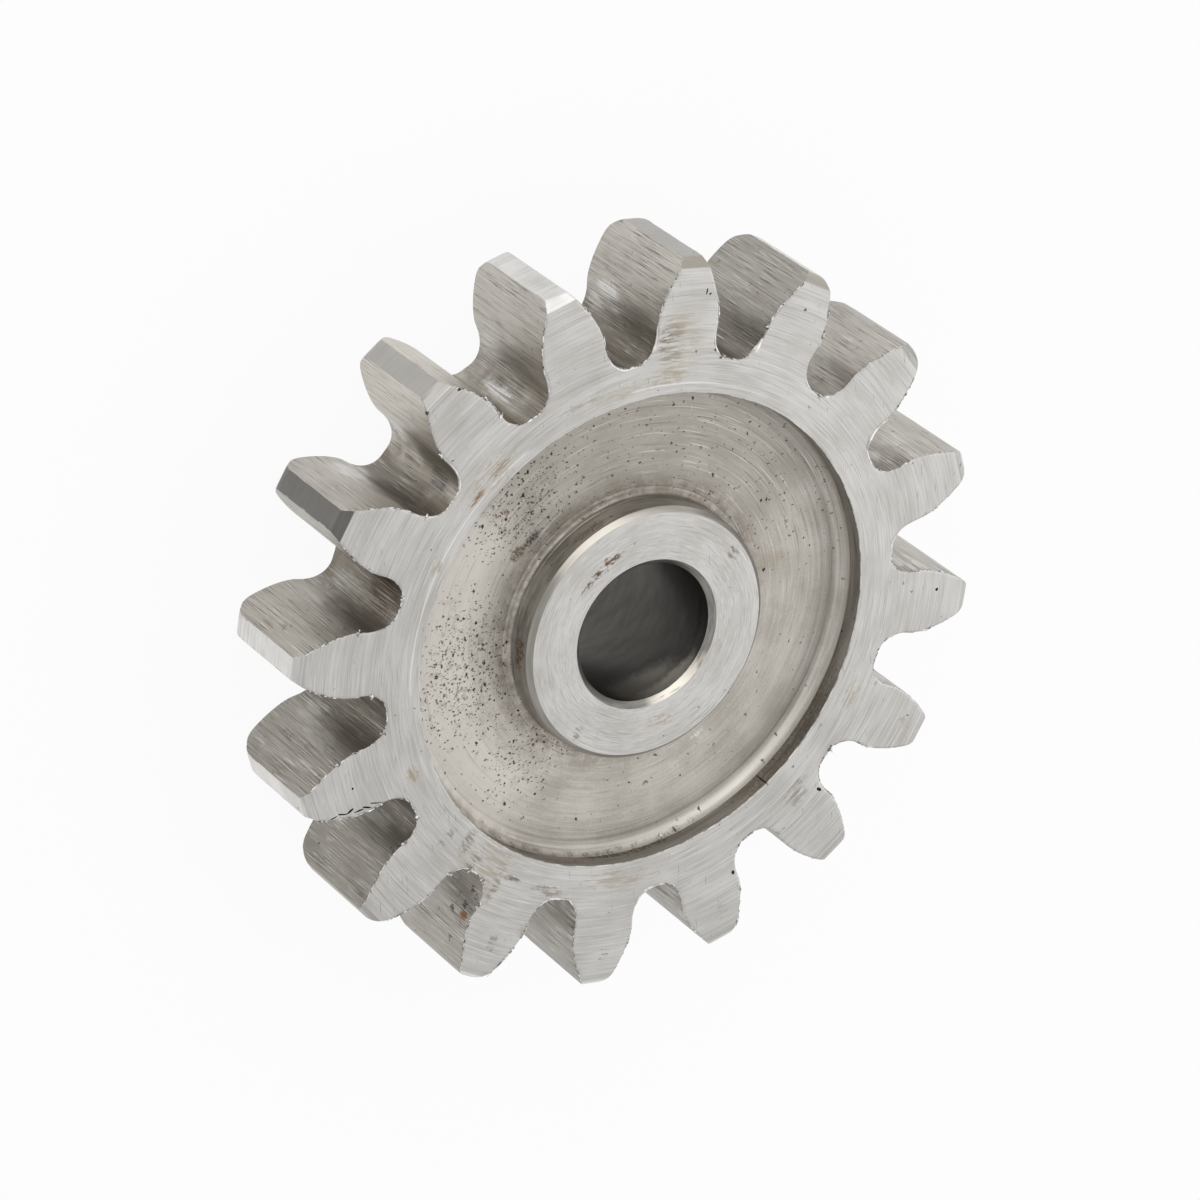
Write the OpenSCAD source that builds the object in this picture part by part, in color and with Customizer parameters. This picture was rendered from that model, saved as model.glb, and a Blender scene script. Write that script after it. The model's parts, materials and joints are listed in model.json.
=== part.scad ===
// Spur pinion gear, cut from one turned steel blank.
// The bore runs along +Z, and the gear stands on the end of its hub.

/* [Teeth] */
// Module, which is the pitch diameter divided by the number of teeth
tooth_module = 5; // [4:0.25:8]
// Number of teeth
teeth = 16; // [13:1:40]
// Pressure angle, in degrees
pressure_angle = 20; // [17:0.5:25]
// Height of a tooth above the pitch circle, in modules
addendum_ratio = 1; // [0.8:0.05:1.05]
// Depth of a gap below the pitch circle, in modules
dedendum_ratio = 1.33; // [1.15:0.01:1.4]
// Rounding on the tip of the cutter, which shapes the foot of each tooth, in modules
cutter_round_ratio = 0.35; // [0.2:0.01:0.37]
// How much thinner each tooth is than half the pitch
tooth_thinning = 0.6; // [0:0.05:1]
// Length of the teeth along the axis
face_width = 15.5; // [12:0.5:40]
// Chamfer turned on the tips of the teeth, at the front face
tip_chamfer = 1.1; // [0.2:0.1:2]
// Rounding turned on the tips of the teeth, at the back face
tip_round = 2.4; // [0.4:0.1:4]

/* [Recess] */
// Thickness of the rim, from the root of the teeth to the wall of the recess
rim_wall = 4.3; // [2.5:0.1:10]
// Depth of the ring-shaped recess below the front face of the teeth
recess_depth = 3.6; // [1:0.1:6]
// Fillet between the wall and the floor of the recess
recess_fillet = 1.6; // [0.4:0.1:3]
// Fillet where the hub meets the floor of the recess
hub_front_fillet = 0.5; // [0.2:0.1:1.5]

/* [Hub] */
// Diameter of the hub
hub_d = 31; // [24:0.5:50]
// How far the hub stands in front of the teeth
hub_lead = 0.5; // [0:0.1:5]
// How far the hub stands out behind the teeth
hub_projection = 9; // [1:0.5:40]
// Chamfer on the outer edge of the hub, at both ends
hub_chamfer = 0.6; // [0.2:0.1:0.9]
// Fillet where the hub meets the back face of the teeth
hub_back_fillet = 1; // [0.3:0.1:2]

/* [Bore] */
// Diameter of the bore
bore_d = 17; // [6:0.5:21]
// Chamfer at both mouths of the bore
bore_chamfer = 0.7; // [0.2:0.1:1.2]

/* [Hidden] */
$fn = 128;
// Distance that each cut runs past the surface it opens
cut_past = 1;
// Straight steps along the foot and along the flank of a tooth
foot_steps = 8;
flank_steps = 9;

addendum = addendum_ratio * tooth_module;
dedendum = dedendum_ratio * tooth_module;
pitch_r = tooth_module * teeth / 2;
base_r = pitch_r * cos(pressure_angle);
tip_r = pitch_r + addendum;
root_r = pitch_r - dedendum;
recess_r = root_r - rim_wall;
hub_r = hub_d / 2;
bore_r = bore_d / 2;

back_z = hub_projection;
front_z = back_z + face_width;
floor_z = front_z - recess_depth;
hub_face_z = front_z + hub_lead;

// A fillet is never taller than the wall that it runs up.
wall_fillet = min(recess_fillet, recess_depth);
front_foot_fillet = min(hub_front_fillet, recess_depth);
back_foot_fillet = min(hub_back_fillet, hub_projection - hub_chamfer);

// The cutter is a rack whose straight-sided teeth are rounded at the tip.
// Its depth is measured inwards from the pitch circle.
gap_width = PI * tooth_module / 2 + tooth_thinning;
cutter_round = cutter_round_ratio * tooth_module;
round_depth = dedendum - cutter_round;
round_offset = gap_width / 2 - round_depth * tan(pressure_angle) - cutter_round / cos(pressure_angle);

// Angle between an involute's start and the point where its pressure angle is a.
function involute_angle(a) = tan(a) * 180 / PI - a;

// Half the angle that a gap spans at radius r, on the involute flanks.
function flank_half_angle(r) =
    gap_width / 2 / pitch_r * 180 / PI
    + involute_angle(acos(base_r / r)) - involute_angle(pressure_angle);

// Radius and half angle of the foot, where the round tip of the rolling cutter leaves it.
// The direction a runs from 90, at the root, to the pressure angle.
function foot_point(a) =
    let (depth = round_depth + cutter_round * sin(a))
    let (side = depth / tan(a))
    let (rolled = round_offset + cutter_round * cos(a) - side)
    let (height = pitch_r - depth)
    [norm([side, height]), rolled / pitch_r * 180 / PI + atan2(side, height)];

// The foot ends where the flank is wider, so that an undercut tooth keeps its true form.
foot_points = [
    for (i = [0 : foot_steps])
        let (p = foot_point(90 - i * (90 - pressure_angle) / foot_steps))
        if (p[0] < base_r || p[1] >= flank_half_angle(p[0]) - 0.001) p
];
flank_start_r = max(base_r, foot_points[len(foot_points) - 1][0]);
flank_length = tip_r + cut_past - flank_start_r;
flank_points = [
    for (i = [1 : flank_steps])
        let (r = flank_start_r + i * flank_length / flank_steps)
        [r, flank_half_angle(r)]
];
half_gap = concat(foot_points, flank_points);

// Outline of one tooth gap, centred on the X axis.
module gap_outline() {
    last = len(half_gap) - 1;
    mirrored = [for (i = [last : -1 : 0]) [half_gap[i][0], -half_gap[i][1]]];
    polygon([for (p = concat(half_gap, mirrored)) p[0] * [cos(p[1]), sin(p[1])]]);
}

// What a fillet fills, or a rounding takes off, at the origin between the two positive axes.
module corner_fillet(r) {
    difference() {
        square(r);
        translate([r, r]) circle(r);
    }
}

// Half section of the hub, with chamfered outer corners.
module hub_section() {
    polygon([
        [0, 0],
        [hub_r - hub_chamfer, 0],
        [hub_r, hub_chamfer],
        [hub_r, hub_face_z - hub_chamfer],
        [hub_r - hub_chamfer, hub_face_z],
        [0, hub_face_z]
    ]);
}

// Half section of the recess, open at the front and rounded at its wall.
module recess_section() {
    difference() {
        translate([0, floor_z]) square([recess_r, recess_depth + cut_past]);
        translate([recess_r, floor_z]) mirror([1, 0]) corner_fillet(wall_fillet);
    }
}

// Half section of the toothed part, chamfered at the front and rounded at the back.
module toothed_section() {
    difference() {
        polygon([
            [0, back_z],
            [tip_r, back_z],
            [tip_r, front_z - tip_chamfer],
            [tip_r - tip_chamfer, front_z],
            [0, front_z]
        ]);
        translate([tip_r, back_z]) mirror([1, 0]) corner_fillet(tip_round);
    }
}

// Half section of the blank, before the bore and the teeth are cut.
module blank_section() {
    difference() {
        toothed_section();
        recess_section();
    }
    hub_section();
    translate([hub_r, floor_z]) corner_fillet(front_foot_fillet);
    translate([hub_r, back_z]) mirror([0, 1]) corner_fillet(back_foot_fillet);
}

// Bore with a chamfer at each mouth.
module bore_cut() {
    mouth_h = bore_chamfer + cut_past;
    mouth_r = bore_r + mouth_h;
    translate([0, 0, -cut_past]) cylinder(r = bore_r, h = hub_face_z + 2 * cut_past);
    translate([0, 0, -cut_past]) cylinder(r1 = mouth_r, r2 = bore_r, h = mouth_h);
    translate([0, 0, hub_face_z - bore_chamfer]) cylinder(r1 = bore_r, r2 = mouth_r, h = mouth_h);
}

// Every tooth gap, with the first on the X axis.
module tooth_gaps() {
    for (i = [0 : teeth - 1]) {
        rotate(i * 360 / teeth)
            translate([0, 0, back_z - cut_past])
            linear_extrude(face_width + 2 * cut_past) gap_outline();
    }
}

// The whole gear, in one piece.
module pinion_gear() {
    color([0.72, 0.7, 0.67])
    difference() {
        rotate_extrude() blank_section();
        tooth_gaps();
        bore_cut();
    }
}

pinion_gear();
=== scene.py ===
"""A hobbed steel pinion gear with turned faces, raw flanks, burrs, pits and stains, on a pale floor."""
import json
import math
import random

import bmesh
import bpy
from mathutils import Matrix, Vector

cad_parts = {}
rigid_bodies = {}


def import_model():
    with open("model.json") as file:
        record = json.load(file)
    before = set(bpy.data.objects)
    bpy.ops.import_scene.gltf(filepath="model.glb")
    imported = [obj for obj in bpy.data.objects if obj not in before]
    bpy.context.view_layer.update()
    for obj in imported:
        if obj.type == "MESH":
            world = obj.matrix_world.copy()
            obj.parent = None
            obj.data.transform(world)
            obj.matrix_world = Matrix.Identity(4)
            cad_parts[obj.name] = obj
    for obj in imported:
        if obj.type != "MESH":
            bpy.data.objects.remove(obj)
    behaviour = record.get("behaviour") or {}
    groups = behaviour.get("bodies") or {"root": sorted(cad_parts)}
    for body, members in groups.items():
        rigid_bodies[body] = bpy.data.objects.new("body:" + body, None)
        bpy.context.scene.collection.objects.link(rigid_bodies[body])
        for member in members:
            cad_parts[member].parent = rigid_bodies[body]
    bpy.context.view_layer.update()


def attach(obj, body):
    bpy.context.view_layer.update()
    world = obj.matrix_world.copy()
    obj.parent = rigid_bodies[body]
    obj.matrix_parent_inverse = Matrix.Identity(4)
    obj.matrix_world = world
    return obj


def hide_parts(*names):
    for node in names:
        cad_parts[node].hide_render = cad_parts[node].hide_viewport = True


MM = 0.001
UP = Vector((0, 0, 1))

# Teeth, in millimetres and radians
TEETH = 16
MODULE = 5.0
PRESSURE_ANGLE = math.radians(20)
DEDENDUM = 1.33 * MODULE
CUTTER_ROUND = 0.35 * MODULE
GAP_WIDTH = math.pi * MODULE / 2 + 0.6
TIP_CHAMFER = 1.1
TIP_ROUND = 2.4
WORN_ROUND = 1.9
PITCH_R = MODULE * TEETH / 2
BASE_R = PITCH_R * math.cos(PRESSURE_ANGLE)
TIP_R = PITCH_R + MODULE
ROOT_R = PITCH_R - DEDENDUM
PITCH = 2 * math.pi / TEETH

# Turned sizes, in millimetres
RECESS_R = 29.05
RECESS_FILLET = 1.6
HUB_R = 15.5
HUB_CHAMFER = 0.6
HUB_FRONT_FILLET = 0.5
HUB_BACK_FILLET = 1.0
BORE_R = 8.5
BORE_CHAMFER = 0.7
BACK_Z = 9.0
FRONT_Z = 24.5
FLOOR_Z = 20.9
HUB_FACE_Z = 25.0

# Edges and facets, in millimetres and radians
EDGE_ROUND = 0.1
RIM_JOIN_R = 32.4
SAME_PLACE = 0.001
CUT_TOLERANCE = 0.0001
SLIVER = 0.12
FACE_BORDER = 0.25
SHARP_EDGE = math.radians(35)
SMOOTH_EDGE = math.radians(50)
TURNED_STEPS = 288
FOOT_STEPS = 14
FLANK_STEPS = 28
LAND_STEPS = 5
ROUND_STEPS = 6
WORN_STEPS = 5
LEVELS = 20

# Teeth, counted from the first one above +X, that are rounded over at the front instead of chamfered
ROUNDED_TIPS = range(5, 14)
# Middle of the worn corner of a top where it rounds over at the back: radius, distance from the middle and height
BACK_CORNER = (44.7, 1.55, 10.6)
BACK_CORNER_REACH = 1.5
WORN_CORNER_REACH = 1.9
# How often the corners of a worn top are smoothed: the counterclockwise one, then the clockwise one
WORN_CORNERS = {
    5: (12, 12),
    6: (18, 18),
    7: (12, 8),
    8: (24, 8),
    9: (14, 10),
    10: (12, 14),
    11: (24, 30),
    12: (24, 18),
    13: (24, 24),
    14: (0, 14),
}
# Raggedness of the gaps' front edges: share of their points, how far these move in mm, and seed
RAGGED_MOVES = ((1.0, 0.05, 1), (0.35, 0.13, 2))
CREST_MOVE = 0.035
FLANK_MOVE = 0.012
NICK_MOVE = 0.05
# How far from the flank's end a point still counts as on the crest, in radians
CREST_REACH = 0.0016
# Places in metres: hardly any two points of the gear are equally far from one, and then not from the other
SORTING_PLACES = ((-0.029, 0.053, 0.047), (0.061, 0.037, 0.043))

# Camera, set so that a picture of 1200 by 1200 shows the gear at the photograph's angle, and the light
PICTURE_SIZE = 1200
FOCAL_PIXELS = 6015.9
SENSOR = 36.0
CAMERA_AIM = Vector((5.93, 5.60, 24.5)) * MM
CAMERA_DISTANCE = 675.4 * MM
CAMERA_AZIMUTH = math.radians(42.67)
CAMERA_ELEVATION = math.radians(50.35)
CAMERA_ROLL = math.radians(127.11)
FLOOR_SIZE = 6
FLOOR_WHITE = 0.92
SKY_STRENGTH = 0.7


def polar(radius, angle, z=0.0):
    """A point in metres, from a radius and height in millimetres."""
    return Vector((radius * math.cos(angle), radius * math.sin(angle), z)) * MM


# Tooth form


def involute(angle):
    return math.tan(angle) - angle


def flank_angle(radius):
    """Half the angle that a tooth gap spans at a radius, on its involute flanks."""
    return GAP_WIDTH / 2 / PITCH_R + involute(math.acos(BASE_R / radius)) - involute(PRESSURE_ANGLE)


def foot_point(direction):
    """Radius and half angle of a gap's foot, as the rounded tip of a rolling rack cutter leaves it."""
    round_depth = DEDENDUM - CUTTER_ROUND
    round_offset = GAP_WIDTH / 2 - round_depth * math.tan(PRESSURE_ANGLE) - CUTTER_ROUND / math.cos(PRESSURE_ANGLE)
    depth = round_depth + CUTTER_ROUND * math.sin(direction)
    side = depth / math.tan(direction)
    rolled = round_offset + CUTTER_ROUND * math.cos(direction) - side
    height = PITCH_R - depth
    return math.hypot(side, height), rolled / PITCH_R + math.atan2(side, height)


def half_gap():
    """Radii and angles from the middle of a gap's root to the middle of the next tooth's tip."""
    points = [(ROOT_R, 0.0)]
    turn = math.pi / 2 - PRESSURE_ANGLE
    points += [foot_point(math.pi / 2 - turn * i / FOOT_STEPS) for i in range(FOOT_STEPS + 1)]
    start = points[-1][0]
    for i in range(1, FLANK_STEPS + 1):
        radius = start + (TIP_R - start) * i / FLANK_STEPS
        points.append((radius, flank_angle(radius)))
    first = points[-1][1]
    for i in range(1, LAND_STEPS + 1):
        points.append((TIP_R, first + (PITCH / 2 - first) * i / LAND_STEPS))
    return points


HALF_GAP = half_gap()
# Half angle of a gap where its flanks meet the tops of the teeth
CREST_ANGLE = HALF_GAP[FOOT_STEPS + 1 + FLANK_STEPS][1]


def gap_edge(gap, first, last):
    """Points on the front edge of a numbered gap. Steps count from its root, and are negative on its clockwise side."""
    points = []
    for step in range(first, last + 1):
        radius, angle = HALF_GAP[abs(step)]
        points.append((radius, gap * PITCH + math.copysign(angle, step)))
    return points


# Modelling by hand


def drop_selection():
    if bpy.context.object and bpy.context.object.mode != "OBJECT":
        bpy.ops.object.mode_set(mode="OBJECT")
    bpy.ops.object.select_all(action="DESELECT")


def name_piece(name):
    piece = bpy.context.object
    piece.name = name
    piece.data.name = name
    return piece


def join(pieces):
    """Joins the others into the first piece."""
    drop_selection()
    for piece in pieces:
        piece.select_set(True)
    bpy.context.view_layer.objects.active = pieces[0]
    bpy.ops.object.join()
    return pieces[0]


def draw_lines(name, lines):
    """A new object with one open line through each row of points, drawn by extruding single vertices."""
    drop_selection()
    for number, points in enumerate(lines):
        if number:
            bpy.ops.mesh.select_all(action="DESELECT")
        bpy.ops.mesh.primitive_plane_add(size=MM, location=points[0])
        if not number:
            piece = name_piece(name)
            bpy.ops.object.transform_apply(location=True)
            bpy.ops.object.mode_set(mode="EDIT")
            bpy.ops.mesh.select_mode(type="VERT")
            bpy.ops.mesh.select_all(action="SELECT")
        bpy.ops.mesh.merge(type="CENTER")
        for here, there in zip(points, points[1:]):
            bpy.ops.mesh.extrude_region_move(TRANSFORM_OT_translate={"value": there - here})
    return piece


def choose(kind, test):
    """Selects the vertices, edges or faces of the edited mesh that pass the test."""
    bpy.ops.mesh.select_mode(type={"verts": "VERT", "edges": "EDGE", "faces": "FACE"}[kind])
    bpy.ops.mesh.select_all(action="DESELECT")
    mesh = bmesh.from_edit_mesh(bpy.context.object.data)
    for item in getattr(mesh, kind):
        if test(item):
            item.select_set(True)
    mesh.select_flush_mode()
    bmesh.update_edit_mesh(bpy.context.object.data)


def flat_radius(place):
    return math.hypot(place.x, place.y) / MM


def off_middle(place):
    """Angle from a place to the middle line of the nearest tooth."""
    return abs((math.atan2(place.y, place.x) / PITCH) % 1 - 0.5) * PITCH


# The gear


def rounding_cuts(centre, outward, side, radius, steps):
    """Places and directions of flat cuts that round a tip over towards one side."""
    cuts = []
    for k in range(steps):
        tilt = (k + 0.5) / steps * math.pi / 2
        facing = outward * math.cos(tilt) + side * math.sin(tilt)
        cuts.append((centre + facing * radius * MM, facing))
    return cuts


def tip_cuts(tooth):
    """The flat cuts that chamfer or round a numbered tooth's tip at the front, and round it at the back."""
    middle = PITCH * (tooth + 0.5)
    outward = Vector((math.cos(middle), math.sin(middle), 0))
    centre = polar(TIP_R - TIP_ROUND, middle, BACK_Z + TIP_ROUND)
    cuts = rounding_cuts(centre, outward, -UP, TIP_ROUND, ROUND_STEPS)
    if tooth in ROUNDED_TIPS:
        centre = polar(TIP_R - WORN_ROUND, middle, FRONT_Z - WORN_ROUND)
        return cuts + rounding_cuts(centre, outward, UP, WORN_ROUND, WORN_STEPS)
    return cuts + [(polar(TIP_R - TIP_CHAMFER, middle, FRONT_Z), (outward + UP).normalized())]


def wear_corners():
    """Rounds the corners of the worn tips in the outline of the teeth."""
    for tooth, worn in WORN_CORNERS.items():
        for side, repeat in zip((1, -1), worn):
            spot = polar(TIP_R, PITCH * (tooth + 0.5) + side * (PITCH / 2 - CREST_ANGLE), BACK_Z)
            if repeat:
                choose("verts", lambda v: (v.co - spot).length < WORN_CORNER_REACH * MM)
                bpy.ops.mesh.vertices_smooth(factor=0.5, repeat=repeat)


def near_back_corner(vertex):
    r = flat_radius(vertex.co)
    return math.dist((r, r * off_middle(vertex.co), vertex.co.z / MM), BACK_CORNER) < BACK_CORNER_REACH


def put_in_order():
    """Numbers the mesh by distance from two places, because a fill or cut numbers it differently in each run."""
    bpy.ops.mesh.select_all(action="SELECT")
    for place in SORTING_PLACES:
        bpy.context.scene.cursor.location = place
        bpy.ops.mesh.sort_elements(type="CURSOR_DISTANCE", elements={"VERT", "EDGE", "FACE"})
    bpy.context.scene.cursor.location = (0, 0, 0)
    bpy.ops.object.mode_set(mode="OBJECT")
    bpy.ops.object.mode_set(mode="EDIT")


def tooth_ring():
    """The toothed ring as a solid prism, with its tips shaped and its edges eased and roughened."""
    ring = draw_lines("pinion_gear_body", [[polar(r, a, BACK_Z) for r, a in HALF_GAP]])
    bpy.ops.mesh.select_all(action="SELECT")
    bpy.ops.mesh.duplicate()
    bpy.ops.transform.resize(value=(1, -1, 1), center_override=(0, 0, 0))
    bpy.ops.mesh.select_all(action="SELECT")
    bpy.ops.mesh.spin(steps=TEETH, dupli=True, angle=2 * math.pi, center=(0, 0, 0), axis=UP)
    bpy.ops.mesh.select_all(action="SELECT")
    bpy.ops.mesh.remove_doubles(threshold=10 * SAME_PLACE * MM)
    wear_corners()
    bpy.ops.mesh.select_all(action="SELECT")
    bpy.ops.mesh.edge_face_add()
    bpy.ops.mesh.extrude_region_move(TRANSFORM_OT_translate={"value": UP * (FRONT_Z - BACK_Z) * MM})
    bpy.ops.mesh.select_all(action="SELECT")
    bpy.ops.mesh.normals_make_consistent(inside=False)
    for tooth in range(TEETH):
        for place, facing in tip_cuts(tooth):
            bpy.ops.mesh.select_all(action="SELECT")
            bpy.ops.mesh.bisect(
                plane_co=place, plane_no=facing, use_fill=True, clear_outer=True, threshold=CUT_TOLERANCE * MM)
    put_in_order()
    bpy.ops.mesh.remove_doubles(threshold=SLIVER * MM)
    put_in_order()
    bpy.ops.mesh.select_mode(type="EDGE")
    bpy.ops.mesh.select_all(action="DESELECT")
    bpy.ops.mesh.edges_select_sharp(sharpness=SHARP_EDGE)
    bpy.ops.mesh.bevel(offset=EDGE_ROUND * MM, offset_type="OFFSET", segments=2, affect="EDGES", clamp_overlap=False)
    for z in (FRONT_Z, BACK_Z):
        choose("faces", lambda f: abs(f.normal.z) > 0.99 and abs(f.calc_center_median().z / MM - z) < 0.01)
        bpy.ops.mesh.inset(thickness=FACE_BORDER * MM)
        bpy.ops.mesh.delete(type="ONLY_FACE")
    for i in range(1, LEVELS):
        place = UP * (BACK_Z + (FRONT_Z - BACK_Z) * i / LEVELS) * MM
        bpy.ops.mesh.select_all(action="SELECT")
        bpy.ops.mesh.bisect(plane_co=place, plane_no=UP, threshold=CUT_TOLERANCE * MM)
    choose("verts", near_back_corner)
    bpy.ops.mesh.vertices_smooth(factor=0.5, repeat=5)
    roughen_edges()
    bpy.ops.object.mode_set(mode="OBJECT")
    return ring


def roughen_edges():
    """Gives the front edges of the gaps and the long edges of the tips the ragged line that a dull cutter leaves."""
    put_in_order()
    low, high = FRONT_Z - 1.2 * EDGE_ROUND, FRONT_Z - 0.1 * EDGE_ROUND
    for share, offset, seed in RAGGED_MOVES:
        choose("verts", lambda v: low < v.co.z / MM < high and flat_radius(v.co) < TIP_R - WORN_ROUND - 0.3)
        bpy.ops.mesh.select_random(ratio=1 - share, seed=seed, action="DESELECT")
        bpy.ops.transform.vertex_random(offset=offset * MM, seed=seed)
    choose("verts", lambda v: BACK_Z + TIP_ROUND < v.co.z / MM < FRONT_Z - TIP_CHAMFER - 0.1
           and flat_radius(v.co) > TIP_R - 0.06 and abs(PITCH / 2 - off_middle(v.co) - CREST_ANGLE) < CREST_REACH)
    bpy.ops.transform.vertex_random(offset=CREST_MOVE * MM, seed=5)
    choose("verts", lambda v: BACK_Z + 0.3 < v.co.z / MM < FRONT_Z - 0.3 and flat_radius(v.co) < TIP_R - 0.2)
    bpy.ops.transform.vertex_random(offset=FLANK_MOVE * MM, seed=6)


def rounded(corners):
    """Points of a section in the XZ plane, with an arc of the given radius at each corner."""
    points = []
    for i, (r, z, radius) in enumerate(corners):
        corner = Vector((r, 0, z))
        if not radius:
            points.append(corner * MM)
            continue
        back = (Vector((corners[i - 1][0], 0, corners[i - 1][1])) - corner).normalized()
        ahead = (Vector((corners[i + 1][0], 0, corners[i + 1][1])) - corner).normalized()
        half = back.angle(ahead) / 2
        middle = corner + (back + ahead).normalized() * radius / math.sin(half)
        first = (corner + back * radius / math.tan(half) - middle).normalized()
        last = (corner + ahead * radius / math.tan(half) - middle).normalized()
        steps = max(3, round(radius * 5))
        for k in range(steps + 1):
            points.append((middle + first.slerp(last, k / steps) * radius) * MM)
    return points


def turned_body():
    """Everything inside the teeth, spun from its half section."""
    ease = EDGE_ROUND
    foot_r = HUB_R + HUB_FRONT_FILLET
    foot_z = FLOOR_Z + HUB_FRONT_FILLET
    corners = [
        (RIM_JOIN_R, FRONT_Z, 0),
        # A faint line round the recess
        (RECESS_R + 1.35, FRONT_Z, 0),
        (RECESS_R + 1.25, FRONT_Z - 0.02, 0),
        (RECESS_R + 1.15, FRONT_Z, 0),
        (RECESS_R, FRONT_Z, ease),
        (RECESS_R, FLOOR_Z, RECESS_FILLET),
        # A groove round the foot of the hub, and one on its wall
        (foot_r + 0.55, FLOOR_Z, 0),
        (foot_r + 0.47, FLOOR_Z - 0.06, 0),
        (foot_r + 0.38, FLOOR_Z, 0),
        (HUB_R, FLOOR_Z, HUB_FRONT_FILLET),
        (HUB_R, foot_z + 0.12, 0),
        (HUB_R - 0.08, foot_z + 0.2, 0),
        (HUB_R, foot_z + 0.28, 0),
        (HUB_R, HUB_FACE_Z - HUB_CHAMFER, ease),
        (HUB_R - HUB_CHAMFER, HUB_FACE_Z, ease),
        (BORE_R + BORE_CHAMFER, HUB_FACE_Z, ease),
        (BORE_R, HUB_FACE_Z - BORE_CHAMFER, ease),
        (BORE_R, BORE_CHAMFER, ease),
        (BORE_R + BORE_CHAMFER, 0, ease),
        (HUB_R - HUB_CHAMFER, 0, ease),
        (HUB_R, HUB_CHAMFER, ease),
        (HUB_R, BACK_Z, HUB_BACK_FILLET),
        (RIM_JOIN_R, BACK_Z, 0),
    ]
    body = draw_lines("turned_body", [rounded(corners)])
    bpy.ops.mesh.select_all(action="SELECT")
    bpy.ops.mesh.spin(steps=TURNED_STEPS, angle=2 * math.pi, center=(0, 0, 0), axis=UP)
    bpy.ops.mesh.select_all(action="SELECT")
    bpy.ops.mesh.remove_doubles(threshold=SAME_PLACE * MM)
    bpy.ops.object.mode_set(mode="OBJECT")
    return body


# Nicks: place in mm, half sizes in mm, and turn about the upright in degrees
NICKS = [
    ((-24.7, -15.4, 23.6), (0.5, 0.08, 1.5), 33),
    ((39.9, -9.9, FRONT_Z), (0.4, 0.09, 0.3), -14),
    ((39.5, -10.3, FRONT_Z), (0.1, 0.2, 0.25), 20),
    ((43.9, -9.9, 10.4), (0.5, 0.4, 0.9), -12),
    ((-10.7, 40.8, FRONT_Z), (0.5, 0.08, 0.25), 100),
    ((-10.6, 39.7, FRONT_Z), (0.65, 0.09, 0.3), 75),
    ((-10.5, 38.7, FRONT_Z), (0.5, 0.14, 0.3), 120),
    ((-10.8, 37.6, FRONT_Z), (0.65, 0.09, 0.3), 95),
    ((-10.7, 36.6, FRONT_Z), (0.6, 0.12, 0.3), 70),
    ((-10.5, 35.5, FRONT_Z), (0.7, 0.08, 0.25), 75),
    ((35.1, 26.0, 24.4), (0.2, 0.35, 0.4), 40),
    ((-7.8, 38.2, FRONT_Z), (0.14, 0.14, 0.25), 30),
    ((-15.9, 33.9, FRONT_Z), (0.4, 0.2, 0.4), 60),
    ((36.9, 21.8, FRONT_Z), (0.2, 0.3, 0.3), 10),
    ((22.3, 37.6, FRONT_Z), (0.3, 0.2, 0.3), 70),
    ((-6.5, -39.4, FRONT_Z), (0.2, 0.2, 0.3), 0),
    ((-27.8, -22.5, FRONT_Z), (0.4, 0.2, 0.4), 50),
    ((-35.0, -10.4, FRONT_Z), (0.3, 0.2, 0.4), 20),
    ((32.5, -10.8, FRONT_Z), (0.3, 0.2, 0.3), 60),
]


def chip(gear, skin, torn, nicks):
    """Cuts nicks that don't touch each other into the gear. What they lay bare takes the torn finish."""
    cutters = []
    for place, size, turn in nicks:
        drop_selection()
        bpy.ops.mesh.primitive_ico_sphere_add(
            subdivisions=2, radius=MM, location=Vector(place) * MM, rotation=(0, 0, math.radians(turn)), scale=size)
        cutters.append(name_piece("nick_cutter"))
        bpy.ops.object.transform_apply(location=True, rotation=True, scale=True)
    cutter = join(cutters)
    cutter.data.materials.append(skin)
    cutter.data.materials.append(torn)
    bpy.ops.object.mode_set(mode="EDIT")
    bpy.ops.mesh.select_all(action="SELECT")
    bpy.ops.transform.vertex_random(offset=NICK_MOVE * MM, seed=7)
    bpy.ops.mesh.normals_make_consistent(inside=False)
    cutter.active_material_index = 1
    bpy.ops.object.material_slot_assign()
    drop_selection()
    gear.select_set(True)
    bpy.context.view_layer.objects.active = gear
    whole = gear.data.copy()
    cut = gear.modifiers.new("nicks", "BOOLEAN")
    cut.operation = "DIFFERENCE"
    cut.solver = "EXACT"
    cut.object = cutter
    bpy.ops.object.modifier_apply(modifier=cut.name)
    bpy.data.objects.remove(cutter)
    # A cut that fails leaves the mesh empty, and the gear then stays whole
    if len(gear.data.polygons) < len(whole.polygons):
        gear.data = whole


def gear_mesh():
    """The whole gear as one closed skin."""
    gear = join([tooth_ring(), turned_body()])
    bpy.ops.object.mode_set(mode="EDIT")
    for z in (FRONT_Z, BACK_Z):
        choose("edges", lambda e: e.is_boundary and all(abs(v.co.z / MM - z) < 0.1 for v in e.verts))
        bpy.ops.mesh.fill(use_beauty=True)
    bpy.ops.mesh.select_all(action="SELECT")
    bpy.ops.mesh.normals_make_consistent(inside=False)
    put_in_order()
    bpy.ops.object.mode_set(mode="OBJECT")
    return gear


def smooth(piece):
    drop_selection()
    piece.select_set(True)
    bpy.context.view_layer.objects.active = piece
    bpy.ops.object.shade_smooth_by_angle(angle=SMOOTH_EDGE)
    weighted = piece.modifiers.new("even_shading", "WEIGHTED_NORMAL")
    weighted.keep_sharp = True
    bpy.ops.object.modifier_apply(modifier=weighted.name)


# Burrs

# Gaps whose front edges are thick with burrs
RAGGED_GAPS = (0, 1, 2, 3, 4, 5, 6, 7, 15)
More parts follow.
